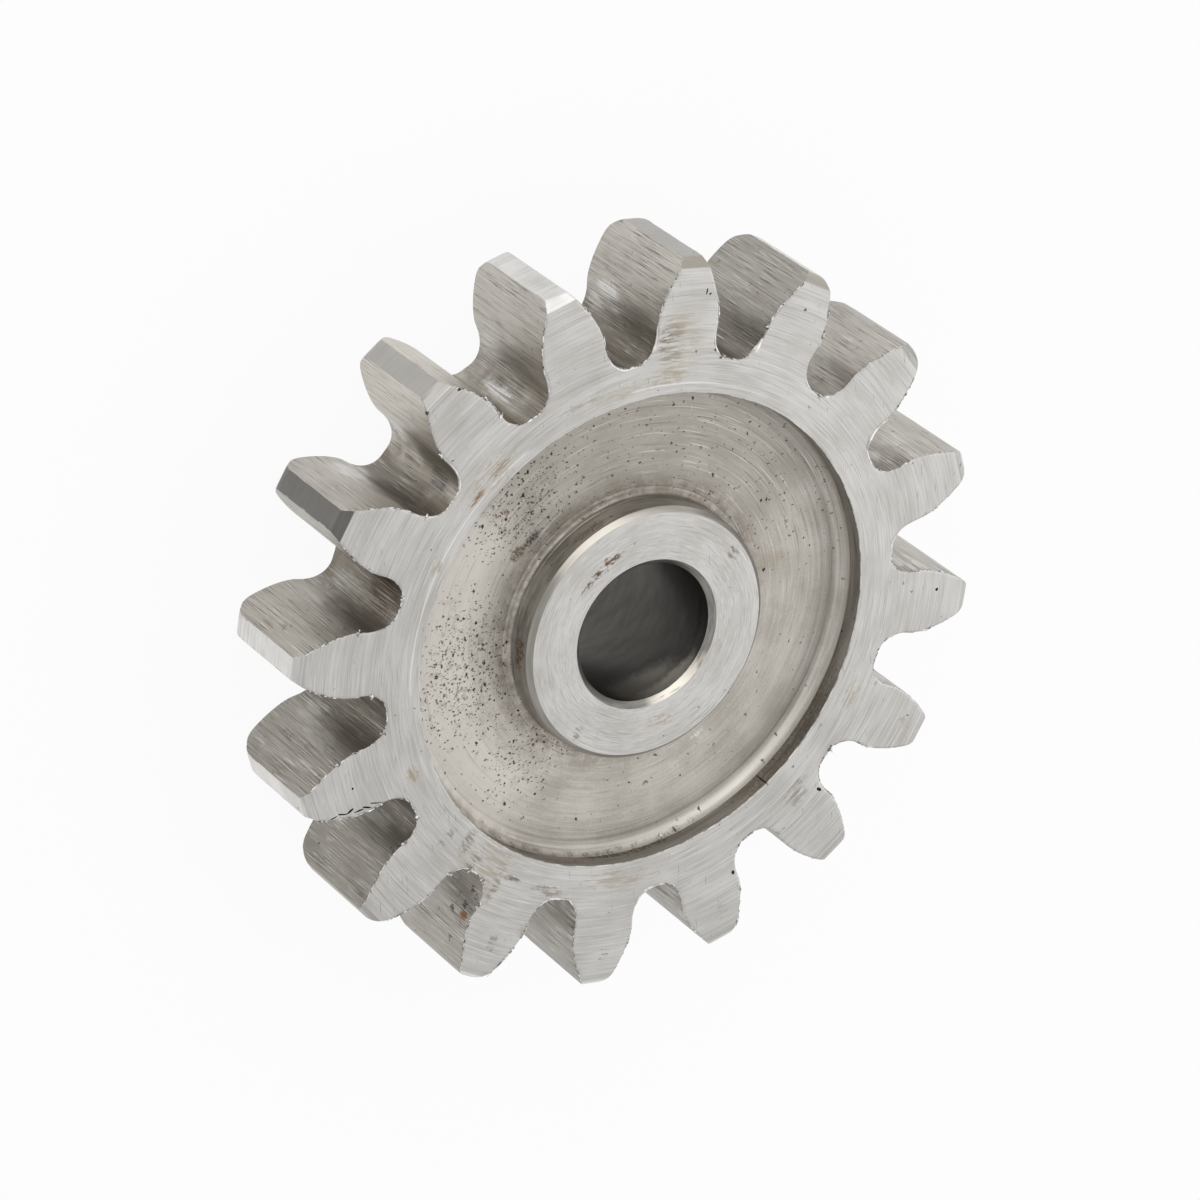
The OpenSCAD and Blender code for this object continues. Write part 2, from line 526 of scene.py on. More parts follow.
# Clumps of torn metal that hang on the gap edges: gap, step along its edge, and size in mm
CLUMPS = [
    (2, -18, 0.5),
    (3, 16, 0.6),
    (3, -4, 0.5),
    (4, 8, 0.5),
    (4, -12, 0.4),
    (4, 24, 0.4),
    (5, 14, 0.6),
    (15, -15, 0.5),
    (1, 22, 0.4),
    (10, 3, 0.6),
    (15, 5, 0.5),
    (14, -3, 0.4),
    (5, -14, 0.4),
    (5, 5, 0.4),
    (6, -12, 0.5),
    (6, -3, 0.5),
    (6, 6, 0.4),
    (6, 14, 0.5),
    (2, 12, 0.5),
    (1, 14, 0.4),
    (4, 15, 0.5),
]
# Bright lips of bent metal along the edges of gaps: gap, the steps from which and to which each runs, and its size
LIPS = [
    (0, -1, 13, 0.24),
    (0, -15, -10, 0.15),
    (15, 4, 15, 0.2),
    (15, -14, -9, 0.38),
    (14, 1, 10, 0.2),
    (14, 15, 19, 0.16),
    (14, -9, -4, 0.16),
    (13, -2, 7, 0.22),
    (13, 6, 15, 0.28),
    (12, -6, 14, 0.18),
    (8, -12, 4, 0.2),
    (7, -11, 8, 0.2),
    (6, -10, 4, 0.16),
    (2, -17, -2, 0.2),
    (2, 6, 15, 0.16),
    (1, -16, -11, 0.16),
]


def wander(draw, path, spread, lift):
    """Points in metres along a path of radii and angles, each a little off it."""
    points = []
    for radius, angle in path:
        z = FRONT_Z + draw.uniform(*lift)
        points.append(polar(radius + draw.uniform(-spread, spread), angle, z))
    return points


def bead(name, lines, thickness, draw, ragged=1.0):
    """Thin beads of metal along the lines, thinner towards both ends and more or less ragged."""
    piece = draw_lines(name, lines)
    bpy.ops.object.mode_set(mode="OBJECT")
    bpy.ops.object.convert(target="CURVE")
    curve = bpy.context.object.data
    curve.dimensions = "3D"
    curve.bevel_depth = MM
    curve.bevel_resolution = 1
    curve.use_fill_caps = True
    for spline in curve.splines:
        last = len(spline.points) - 1
        for i, point in enumerate(spline.points):
            taper = min(1, 0.35 + 1.3 * min(i, last - i) / max(1, last))
            point.radius = thickness * taper * draw.uniform(1 - 0.45 * ragged, 1 + 0.25 * ragged)
    bpy.ops.object.convert(target="MESH")
    piece = name_piece(name)
    bpy.ops.object.mode_set(mode="EDIT")
    bpy.ops.mesh.select_all(action="SELECT")
    bpy.ops.mesh.remove_doubles(threshold=SAME_PLACE * MM)
    bpy.ops.transform.vertex_random(offset=0.3 * ragged * thickness * MM, seed=3)
    bpy.ops.mesh.normals_make_consistent(inside=False)
    bpy.ops.object.mode_set(mode="OBJECT")
    return piece


def root_lips():
    """Smooth bright lips along parts of the gap edges, on the face just outside them."""
    draw = random.Random(5)
    lips = []
    for gap, first, last, size in LIPS:
        path = [(radius - 0.5 * size, angle) for radius, angle in gap_edge(gap, first, last)]
        lips.append(bead("root_lips", [wander(draw, path, 0.02, (-0.09, -0.05))], size, draw, 0.3))
    return join(lips)


def burrs():
    """Burrs along the front edges of the gaps and round their roots, and a few clumps of torn metal."""
    draw = random.Random(16)
    traces, slivers, clumps = [], [], []
    for gap in range(TEETH):
        traces.append(wander(draw, gap_edge(gap, -draw.randint(9, 13), draw.randint(9, 13)), 0.05, (-0.06, 0.03)))
        for side in (-1, 1):
            step = FOOT_STEPS
            while step < FOOT_STEPS + FLANK_STEPS - 6:
                length = draw.randint(2, 6)
                if draw.random() < (0.6 if gap in RAGGED_GAPS else 0.2):
                    ends = sorted((side * step, side * (step + length)))
                    slivers.append(wander(draw, gap_edge(gap, *ends), 0.07, (-0.08, 0.06)))
                step += length
    for gap, step, size in CLUMPS:
        radius, angle = gap_edge(gap, step, step)[0]
        for turn in (draw.uniform(0, 3) for _ in range(3)):
            middle = polar(radius, angle, FRONT_Z) / MM
            middle += Vector((draw.uniform(-0.12, 0.12), draw.uniform(-0.12, 0.12), 0.04))
            along = Vector((math.cos(turn), math.sin(turn), draw.uniform(-0.1, 0.2))) * size * 0.7
            bend = Vector((-along.y, along.x, 0)) * draw.uniform(-0.6, 0.6)
            clumps.append([(middle + along * (k / 2 - 1) + bend * (k / 2 - 1) ** 2) * MM for k in range(5)])
    return join([
        bead("tooth_burrs", slivers, 0.1, draw),
        bead("root_traces", traces, 0.08, draw),
        bead("torn_clumps", clumps, 0.15, draw),
    ])


# Finishes


class Socket:
    """One output of a material's nodes. Arithmetic on it adds Math nodes."""

    def __init__(self, finish, output):
        self.finish = finish
        self.output = output

    def math(self, operation, *values):
        return self.finish.node("ShaderNodeMath", {"operation": operation}, dict(enumerate(values)))

    def other(self, name):
        """Another output of the same node."""
        return Socket(self.finish, self.output.node.outputs[name])

    def __add__(self, other):
        return self.math("ADD", self, other)

    __radd__ = __add__

    def __sub__(self, other):
        return self.math("SUBTRACT", self, other)

    def __rsub__(self, other):
        return self.math("SUBTRACT", other, self)

    def __mul__(self, other):
        return self.math("MULTIPLY", self, other)

    __rmul__ = __mul__

    def __truediv__(self, other):
        return self.math("DIVIDE", self, other)


class Finish:
    """A material in the making. Places are in millimetres in the gear's own frame."""

    def __init__(self, name):
        self.material = bpy.data.materials.new(name)
        self.material.use_nodes = True
        self.material.node_tree.nodes.clear()
        metres = self.node("ShaderNodeTexCoord", output="Object")
        self.place = self.vector_math("SCALE", metres, Scale=1 / MM)
        self.x, self.y, self.z = self.axes(self.place)
        self.flat = self.vector(self.x, self.y, 0)
        self.r = self.vector_math("LENGTH", self.flat, output="Value")
        self.east, self.north, _ = self.axes(self.vector_math("NORMALIZE", self.flat))
        shift = self.noise(self.place, 1.6).other("Color")
        shift = self.vector_math("SCALE", self.vector_math("SUBTRACT", shift, (0.5, 0.5, 0.5)), Scale=1.4)
        self.frayed = self.vector_math("ADD", self.place, shift)
        fine_shift = self.vector_math("SCALE", self.noise(self.place, 4).other("Color"), Scale=0.6)
        self.crumbled = self.vector_math("ADD", self.place, fine_shift)

    def node(self, kind, settings=None, inputs=None, output=0):
        """Adds a node of any kind, sets it, then links or fills its inputs."""
        made = self.material.node_tree.nodes.new(kind)
        for key, value in (settings or {}).items():
            setattr(made, key, value)
        for key, value in (inputs or {}).items():
            if isinstance(value, Socket):
                self.material.node_tree.links.new(value.output, made.inputs[key])
            else:
                made.inputs[key].default_value = value
        return Socket(self, made.outputs[output])

    def vector_math(self, operation, *vectors, output="Vector", **inputs):
        sockets = {**dict(enumerate(vectors)), **inputs}
        return self.node("ShaderNodeVectorMath", {"operation": operation}, sockets, output)

    def axes(self, vector):
        return [self.node("ShaderNodeSeparateXYZ", None, {0: vector}, i) for i in range(3)]

    def vector(self, x, y, z):
        return self.node("ShaderNodeCombineXYZ", None, {0: x, 1: y, 2: z})

    def noise(self, vector, scale=1.0, detail=2.0, roughness=0.5):
        inputs = {"Vector": vector, "Scale": scale, "Detail": detail, "Roughness": roughness}
        return self.node("ShaderNodeTexNoise", {"noise_dimensions": "3D"}, inputs)

    def step(self, value, low, high):
        """Goes smoothly from 0 at low to 1 at high."""
        inputs = {"Value": value, "From Min": low, "From Max": high}
        return self.node("ShaderNodeMapRange", {"interpolation_type": "SMOOTHSTEP"}, inputs)

    def mix(self, share, first, second):
        """The first colour, turning into the second as the share rises to 1."""
        settings = {"data_type": "RGBA", "clamp_factor": True}
        return self.node("ShaderNodeMix", settings, {"Factor": share, 6: first, 7: second}, 2)

    def turning(self, across, around, seed=0.0):
        """Noise space for marks that run round the axis on a flat turned face."""
        return self.vector(self.r * across + seed, self.east * around, self.north * around)

    def winding(self, along, around, seed=0.0):
        """Noise space for marks that run round the axis on a turned wall."""
        return self.vector(self.z * along + seed, self.east * around, self.north * around)

    def spot(self, place, size, turn=0.0, core=0.45):
        """1 inside a frayed ellipse, fading to 0 at its edge."""
        inputs = {"Vector": self.frayed, "Location": place, "Rotation": (0, 0, math.radians(turn)), "Scale": size}
        inside = self.node("ShaderNodeMapping", {"vector_type": "TEXTURE"}, inputs)
        return self.step(self.vector_math("LENGTH", inside, output="Value"), 1.0, core)

    def sector(self, angle, half):
        """1 within half an angle of a direction from the axis, in degrees."""
        towards = self.east * math.cos(math.radians(angle)) + self.north * math.sin(math.radians(angle))
        return self.step(towards, math.cos(math.radians(half * 1.25)), math.cos(math.radians(half * 0.9)))

    def marked(self, colour, marks, broken=1.0):
        """Lays stains, and painted shade and painted highlights where a list holds them, over a colour, each broken up
        by a share that varies over the surface.
        """
        for place, size, turn, stain, strength in marks:
            colour = self.mix(self.spot(place, size, turn) * broken * strength, colour, stain)
        return colour

    def pits(self, per_mm, size, share, kind="3D", stretch=(1, 1, 1)):
        """Ragged pits of random size in a share of the cells that fill space, or a flat face where the kind is 2D."""
        inputs = {"Vector": self.vector_math("MULTIPLY", self.crumbled, stretch), "Scale": per_mm}
        cells = self.node("ShaderNodeTexVoronoi", {"voronoi_dimensions": kind}, inputs, "Distance")
        chance, spread, _ = self.axes(cells.other("Color"))
        reach = (spread * spread * 0.8 + 0.35) * size
        return self.step(cells / reach, 1.0, 0.7) * self.step(chance + share, 0.98, 1.02)

    def scratches(self, turn, across, along, low):
        """Thin straight scratches, all turned by about the same angle about the upright."""
        inputs = {"Vector": self.place, "Rotation": (0, 0, math.radians(turn)), "Scale": (along, across, 1)}
        lines = self.noise(self.node("ShaderNodeMapping", {"vector_type": "POINT"}, inputs), 1, 1)
        return self.step(lines, low, low + 0.05)

    def metal(self, colour, roughness, height=None):
        """The finished material, from a colour, a roughness and a height in mm."""
        inputs = {"Base Color": colour, "Metallic": 1.0, "Roughness": roughness}
        if height:
            inputs["Normal"] = self.node("ShaderNodeBump", None, {"Height": height, "Distance": MM, "Strength": 1.0})
        return self.shown(self.node("ShaderNodeBsdfPrincipled", None, inputs))

    def shown(self, surface):
        shown = self.material.node_tree.nodes.new("ShaderNodeOutputMaterial")
        self.material.node_tree.links.new(surface.output, shown.inputs["Surface"])
        return self.material


def grey(value, warmth=0.0):
    """A colour from a grey level as it is seen on screen, made slightly warm."""
    linear = (value / 255) ** 2.2
    return (linear * (1 + warmth), linear, linear * (1 - 1.6 * warmth), 1)


RUST = (0.24, 0.095, 0.035, 1)
BROWN = (0.16, 0.11, 0.07, 1)
BEIGE = (0.44, 0.37, 0.27, 1)
SOOT = (0.035, 0.026, 0.02, 1)
GRIME = (0.1, 0.075, 0.05, 1)
DARK_BROWN = (0.1, 0.065, 0.04, 1)
WEB_DIRT_AND_SHADE = (0.22, 0.16, 0.115, 1)
WEB_GRIT = (0.12, 0.085, 0.055, 1)
OLD_PIT = (0.07, 0.05, 0.035, 1)
RUSTY_PIT = (0.1, 0.035, 0.02, 1)
WALL_SHADE = (0.13, 0.1, 0.07, 1)
ROOT_SHADE = (0.08, 0.06, 0.042, 1)
ROOT_DIRT_AND_SHADE = (0.15, 0.12, 0.09, 1)
FLANK_STAIN = (0.12, 0.085, 0.06, 1)


def turned_steel(name, seed, dark, light, marks=()):
    """Flat faces off the lathe, with fine round marks, scores, scratches and glints."""
    f = Finish(name)
    fine = f.noise(f.turning(5, 8, seed), 1, 2, 0.6)
    broad = f.noise(f.turning(1.1, 2.4, seed + 3), 1, 3, 0.6)
    cloud = f.noise(f.place, 0.16)
    grain = f.noise(f.place, 4, 3, 0.7)
    glint = f.step(f.noise(f.turning(7, 4, seed + 11), 1, 1), 0.6, 0.7)
    score = f.step(f.noise(f.turning(8, 4, seed + 29), 1, 1), 0.6, 0.7)
    tone = fine * 0.36 + broad * 0.22 + cloud * 0.3 + grain * 0.12
    colour = f.mix(f.step(tone, 0.37, 0.63), dark, light)
    colour = f.mix(glint * 0.42, colour, grey(232, 0.015))
    colour = f.mix(score * 0.36, colour, grey(142, 0.04))
    nicks = f.scratches(35, 5, 0.35, 0.75) + f.scratches(-55, 6, 0.5, 0.76) + f.scratches(80, 6, 0.6, 0.77)
    colour = f.mix(nicks * 0.5, colour, grey(112, 0.05))
    # Painted highlight: the faint line round the recess is painted bright only on the side where light catches it.
    ring = f.step(f.r, 30.14, 30.22) * f.step(f.r, 30.44, 30.36) * f.sector(50, 70) * f.step(f.z, 20, 21)
    colour = f.mix(ring * f.step(broad, 0.4, 0.5) * 0.6, colour, grey(240, 0.02))
    fibre = f.step(f.noise(f.turning(3, 14, seed + 43), 1, 3, 0.7), 0.42, 0.58)
    colour = f.marked(colour, marks, fibre)
    dirt = f.pits(0.9, 0.12, 0.025, "2D", (1, 0.6, 1))
    colour = f.mix(dirt * 0.8, colour, SOOT)
    height = fine * 0.006 + glint * 0.003 - score * 0.005 - nicks * 0.006 - dirt * 0.03
    return f.metal(colour, fine * 0.16 + 0.34, height)


# Stains: place in mm, half sizes in mm, turn about the upright in degrees, colour and share
FACE_MARKS = [
    ((22.9, 20.7, FRONT_Z), (0.35, 1.7, 1.5), 43, RUST, 1.0),
    ((23.7, 19.6, FRONT_Z), (0.3, 1.2, 1.5), 43, RUST, 0.7),
    ((26.2, 17.2, FRONT_Z), (0.5, 2.4, 1.5), 34, BROWN, 0.6),
    ((25.6, 18.6, FRONT_Z), (2.4, 5.0, 2), 36, BEIGE, 0.6),
    ((30.6, 6.6, FRONT_Z), (0.4, 4.0, 2), 12, BROWN, 0.3),
    ((-8.5, 30.6, FRONT_Z), (1.0, 1.5, 2), 106, BEIGE, 0.9),
    ((34.6, -6.2, FRONT_Z), (5.5, 3.8, 2), -10, BEIGE, 0.5),
    ((34.8, -5.0, FRONT_Z), (3.6, 2.2, 2), -10, BROWN, 0.35),
    ((35.6, -4.4, FRONT_Z), (2.6, 0.9, 2), -8, DARK_BROWN, 0.4),
    ((-24.0, 23.2, FRONT_Z), (4.5, 9.0, 2), 45, BEIGE, 0.5),
    ((-19.4, 24.2, FRONT_Z), (1.0, 2.2, 1), 50, BROWN, 0.55),
    ((-17.8, 26.8, FRONT_Z), (0.8, 1.8, 1), 30, BROWN, 0.45),
    ((-21.8, 23.4, FRONT_Z), (1.0, 2.4, 1), 45, BROWN, 0.45),
    ((-24.2, 20.3, FRONT_Z), (1.0, 2.6, 1), 50, BEIGE, 0.6),
    ((-26.6, 21.4, FRONT_Z), (0.7, 1.8, 1), 50, BROWN, 0.5),
    ((-33.1, 17.5, FRONT_Z), (1.2, 1.2, 1), 20, BEIGE, 0.7),
    ((-33.5, 21.8, FRONT_Z), (1.4, 0.9, 1), 0, BROWN, 0.45),
    ((-39.7, -8.7, FRONT_Z), (1.1, 0.9, 1), 0, BEIGE, 0.7),
    ((-26.8, -19.2, FRONT_Z), (1.2, 2.6, 2), 36, BROWN, 0.5),
    ((-16.5, -27.4, FRONT_Z), (1.2, 2.6, 2), 60, BEIGE, 0.6),
    ((-26.1, 18.8, FRONT_Z), (0.4, 1.8, 1), -36, BROWN, 0.8),
    ((-29.0, 14.5, FRONT_Z), (0.8, 3.2, 1), -27, BROWN, 0.5),
    ((-30.6, 5.0, FRONT_Z), (1.4, 6.5, 1), -10, BEIGE, 0.6),
    ((16.5, 25.9, FRONT_Z), (0.9, 1.5, 1), 58, BEIGE, 0.7),
    ((31.0, -4.5, FRONT_Z), (1.2, 3.0, 2), -8, BEIGE, 0.6),
    ((30.6, 1.5, FRONT_Z), (1.0, 6.0, 2), 3, BEIGE, 0.45),
    ((-40.0, 7.3, FRONT_Z), (0.7, 0.8, 1), 0, BROWN, 0.8),
    ((-27.9, -19.9, FRONT_Z), (0.9, 1.8, 1), 36, BROWN, 0.4),
    ((-21.7, -35.2, FRONT_Z), (0.18, 0.5, 0.5), 20, SOOT, 0.9),
    ((-22.6, -34.3, FRONT_Z), (0.9, 0.7, 1), 0, BEIGE, 0.7),
    ((-16.2, -31.0, FRONT_Z), (0.4, 0.5, 0.5), 0, BROWN, 0.7),
    ((-4.3, -35.0, FRONT_Z), (0.25, 0.5, 0.5), 30, SOOT, 0.8),
    ((-5.6, -36.0, FRONT_Z), (0.2, 0.4, 0.5), -20, SOOT, 0.8),
    ((-19.4, -23.0, FRONT_Z), (0.15, 0.5, 0.5), 40, SOOT, 0.8),
]
HUB_MARKS = [
    ((10.7, 3.9, HUB_FACE_Z), (0.5, 1.8, 1), 20, BROWN, 0.95),
    ((9.7, 5.6, HUB_FACE_Z), (0.6, 2.2, 1), 32, BROWN, 1.0),
    ((8.5, 7.2, HUB_FACE_Z), (0.4, 1.6, 1), 42, BROWN, 0.9),
    ((10.9, 4.6, HUB_FACE_Z), (0.3, 0.8, 1), 20, RUST, 0.8),
    ((7.0, -11.7, HUB_FACE_Z), (1.1, 0.9, 1), 0, BROWN, 0.6),
    ((2.5, -11.0, HUB_FACE_Z), (0.25, 0.18, 1), 0, SOOT, 0.9),
    ((-9.7, 9.7, HUB_FACE_Z), (0.8, 1.1, 1), 45, BROWN, 0.6),
    ((-11.5, -1.2, HUB_FACE_Z), (1.0, 2.6, 1), 0, BEIGE, 0.6),
]


WEB_MARKS = [
    ((14.1, 11.9, FLOOR_Z), (0.6, 1.8, 1), 40, SOOT, 0.8),
    ((12.8, 13.8, FLOOR_Z), (0.8, 1.6, 1), 47, BROWN, 0.9),
    ((18.3, 14.9, FLOOR_Z), (0.5, 0.6, 1), 0, RUST, 0.7),
    ((15.7, 20.5, FLOOR_Z), (0.3, 0.3, 1), 0, RUST, 0.7),
    ((2.0, -19.0, FLOOR_Z), (2.5, 1.4, 1), -84, BEIGE, 0.4),
    ((-15.1, -2.5, FLOOR_Z), (0.22, 1.9, 1), 16, grey(240), 0.8),
    ((-17.5, -8.4, FLOOR_Z), (0.3, 1.2, 1), 24, grey(240), 0.8),
    ((-20.6, -5.0, FLOOR_Z), (0.5, 0.9, 1), 16, grey(225), 0.6),
    ((-16.2, -6.0, FLOOR_Z), (0.5, 0.7, 1), 30, grey(225), 0.6),
    ((-21.7, -1.2, FLOOR_Z), (0.25, 0.35, 1), 0, SOOT, 0.8),
    ((-18.4, -2.7, FLOOR_Z), (0.2, 0.3, 1), 0, SOOT, 0.8),
    ((6.5, -21.2, FLOOR_Z), (0.2, 1.6, 1), -72, BROWN, 0.6),
]


def web_steel():
    """The matte floor of the recess, with faint rings, stains, scratches and rust pits, and painted light and shade."""
    f = Finish("matte_web")
    rings = f.noise(f.turning(1.3, 1.6, 5), 1, 3, 0.6)
    fine = f.noise(f.turning(4.5, 6, 17), 1, 2, 0.6)
    grain = f.noise(f.place, 3.5, 4, 0.75)
    cloud = f.noise(f.place, 0.2)
    tone = rings * 0.24 + fine * 0.2 + grain * 0.26 + cloud * 0.3
    colour = f.mix(f.step(tone, 0.38, 0.62), grey(184, 0.07), grey(214, 0.045))
    rim_ring = f.noise(f.turning(2.8, 0.5, 51), 1, 1)
    colour = f.mix(f.step(f.r, 24.5, 28) * f.step(rim_ring, 0.5, 0.6) * 0.35, colour, grey(140, 0.07))
    colour = f.mix(f.step(f.r, 24.5, 28) * f.step(rim_ring, 0.46, 0.38) * 0.35, colour, grey(228, 0.03))
    # Painted shade over one side of the web, and painted light over another side, away from the hub.
    colour = f.mix(f.sector(-12, 50) * 0.45, colour, grey(164, 0.075))
    colour = f.mix(f.sector(92, 45) * f.step(f.r, 18, 23) * 0.7, colour, grey(226, 0.05))
    score = f.step(f.noise(f.turning(6, 3, 41), 1, 1), 0.62, 0.72)
    glint = f.step(f.noise(f.turning(6, 3, 61), 1, 1), 0.62, 0.72)
    upper = f.sector(-20, 60) * 0.4
    colour = f.mix(f.step(fine, 0.5, 0.6) * upper * 0.5, colour, grey(138, 0.08))
    colour = f.mix(score * (upper + 0.28), colour, grey(136, 0.08))
    colour = f.mix(glint * (upper + 0.3), colour, grey(232, 0.02))
    nicks = f.scratches(20, 5, 0.4, 0.75) + f.scratches(-50, 6, 0.5, 0.76)
    colour = f.mix(nicks * 0.5, colour, grey(232, 0.03))
    blotch = f.step(f.noise(f.place, 0.7, 4, 0.7), 0.54, 0.66)
    # Painted shade in a brown tone, broken up by noise: the web darkens towards the hub foot, and next to the recess
    # wall on one side. The blotches where pits crowd are dirt.
    dirt = f.step(f.r, 19.4, 16.2) * f.step(f.noise(f.place, 0.8, 4, 0.7), 0.35, 0.6)
    edge = f.step(f.r, 27.2, 28.8) * f.step(f.noise(f.place, 0.6, 4, 0.7), 0.35, 0.6) * f.sector(85, 60)
    crowd = f.spot((0, 21.5, FLOOR_Z), (13, 9, 4), 0, 0.2) + f.spot((18.5, 13.5, FLOOR_Z), (7, 10, 4), 35, 0.2) * 0.7
    crowd = crowd + f.spot((-13, 14.5, FLOOR_Z), (9, 8, 4), 0, 0.2) * 0.6
    colour = f.mix(dirt * 0.45 + edge * 0.4 + blotch * (crowd * 0.3 + 0.06), colour, WEB_DIRT_AND_SHADE)
    # Painted highlight: a bright band along the fillet at the foot of the recess wall on one side, where it is also a
    # little smoother.
    polish_and_highlight = f.step(f.r, 28.0, 28.35) * f.step(f.r, 28.9, 28.7) * f.sector(-155, 28)
    colour = f.mix(polish_and_highlight * 0.4, colour, grey(220, 0.05))
    colour = f.marked(colour, WEB_MARKS, f.step(grain, 0.35, 0.55))
    small = f.pits(3.2, 0.36, crowd * 0.75 + upper * 0.25 + 0.01, "2D", (1, 0.6, 1))
    large = f.pits(1.3, 0.2, crowd * 0.7 + 0.05, "2D", (0.6, 1, 1))
    rusty = f.step(f.noise(f.place, 0.4), 0.54, 0.6)
    colour = f.mix(small * 0.8, colour, OLD_PIT)
    colour = f.mix(large * 0.92, colour, f.mix(rusty, SOOT, RUSTY_PIT))
    gritty = f.step(f.r, 28.5, 28.75) * f.sector(166, 26) * f.step(f.noise(f.place, 0.6, 3), 0.42, 0.56)
    colour = f.mix(f.step(grain, 0.44, 0.58) * gritty * 0.6, colour, WEB_GRIT)
    # Painted glints: near-white specks in the grit.
    colour = f.mix(f.pits(1.8, 0.36, 0.22) * gritty, colour, grey(250))
    height = fine * 0.004 + rings * 0.005 + grain * 0.004 - small * 0.03 - large * 0.07
    return f.metal(colour, 0.52 + 0.12 * grain - 0.06 * polish_and_highlight, height)


def wall_steel(name, seed, dark, light, marks=(), grit_share=0.15, depth=0.008, broken=2.5):
    """Turned walls and the bore, with lines round them cut to a depth in mm, and stains, painted shade and painted
    highlights broken up per mm, or smooth.
    """
    f = Finish(name)
    fine = f.noise(f.winding(5, 6, seed), 1, 3, 0.6)
    broad = f.noise(f.winding(0.8, 2.5, seed + 7))
    colour = f.mix(f.step(fine * 0.5 + broad * 0.5, 0.34, 0.66), dark, light)
    patches = f.step(f.noise(f.place, broken, 3, 0.7), 0.34, 0.55) if broken else broad * 0.6 + 0.5
    colour = f.marked(colour, marks, patches)
    grit = f.pits(1.8, 0.3, grit_share)
    colour = f.mix(grit * 0.8, colour, SOOT)
    return f.metal(colour, 0.34 + 0.14 * fine, fine * depth)


WALL_MARKS = [
    ((2.0, 15.5, 23.0), (1.8, 1.2, 1.2), 0, BROWN, 0.9),
    ((0.2, 15.5, 22.6), (1.2, 1.0, 0.8), 0, RUST, 0.8),
    ((4.5, 15.9, 21.2), (0.5, 0.5, 0.5), 0, RUST, 1.0),
    ((14.0, 6.0, 23.4), (3, 3, 1.0), 0, BROWN, 0.6),
    ((-23.0, 17.6, 22.6), (5.0, 5.0, 1.2), 0, BROWN, 0.8),
    ((-26.5, 11.5, 23.4), (3.5, 5.0, 0.8), 0, RUST, 0.5),
    ((-28.6, 2.0, 22.2), (3.0, 9.0, 0.9), 0, GRIME, 0.7),
    ((-21.5, -19.5, 23.0), (14, 14, 3.5), 0, WALL_SHADE, 0.5),
]
# Painted light and shade in the bore: lighter low down, a painted highlight near the chamfer, and painted shade in a
# dark patch on another side.
BORE_LIGHT_AND_SHADE = [
    ((-8.4, -1.0, 22.2), (6.0, 6.0, 4.2), 0, grey(176, 0.08), 0.75),
    ((-7.6, -3.2, 23.6), (5.5, 5.5, 1.5), 0, grey(216, 0.07), 0.75),
    ((-1.4, -8.4, 22.6), (4.0, 4.0, 0.5), 0, grey(60, 0.06), 0.7),
]
# Painted light and shade that the flanks of single teeth reflect: angle of the tooth in degrees, colour and share
FLANK_REFLECTION_TONES = [
    (11.25, grey(196, 0.05), 0.4),
    (33.75, grey(222, 0.07), 0.5),
    (78.75, grey(156, 0.08), 0.4),
    (101.25, grey(112, 0.09), 0.5),
    (123.75, grey(98, 0.1), 0.55),
    (146.25, grey(138, 0.06), 0.4),
    (168.75, grey(90, 0.06), 0.4),
    (-168.75, grey(90, 0.06), 0.4),
    (-56.25, grey(176, 0.06), 0.5),
    (-33.75, grey(132, 0.06), 0.5),
]
# Marks on the flanks: the light greys are painted highlights, the dark grey and the root shade are painted shade, and
# the rest are rust and soot.
FLANK_MARKS = [
    ((37.7, -3.4, 13.6), (1.3, 1.3, 3.0), 0, grey(240), 0.7),
    ((25.0, 30.7, 13.2), (2.2, 2.2, 3.0), 0, grey(236), 0.6),
    ((27.1, 22.8, 11.8), (1.6, 1.6, 3.0), 0, grey(232), 0.7),
    ((24.5, 22.8, 20.5), (1.6, 1.6, 2.5), 0, grey(84), 0.7),
    ((30.8, 12.7, 16.1), (1.0, 1.0, 4.0), 0, grey(240), 0.7),
    ((11.5, 31.6, 13.0), (1.6, 1.6, 3.0), 0, grey(200), 0.3),
    ((13.1, 30.7, 21.1), (3.4, 3.4, 4.5), 0, ROOT_SHADE, 0.85),
    ((-29.5, 24.5, 22.8), (0.7, 0.7, 1.1), 0, RUST, 0.9),
    ((-27.4, 23.2, 23.6), (0.5, 0.5, 0.7), 0, SOOT, 0.95),
    ((-27.1, 22.8, 22.4), (0.5, 0.5, 0.8), 0, SOOT, 0.9),
    ((-28.7, 23.9, 22.3), (0.5, 0.5, 0.8), 0, SOOT, 0.9),
    ((-29.9, 24.6, 20.5), (0.5, 0.5, 0.6), 0, SOOT, 0.9),
    ((-33.0, 25.7, 21.4), (0.4, 0.4, 0.5), 0, SOOT, 0.9),
]


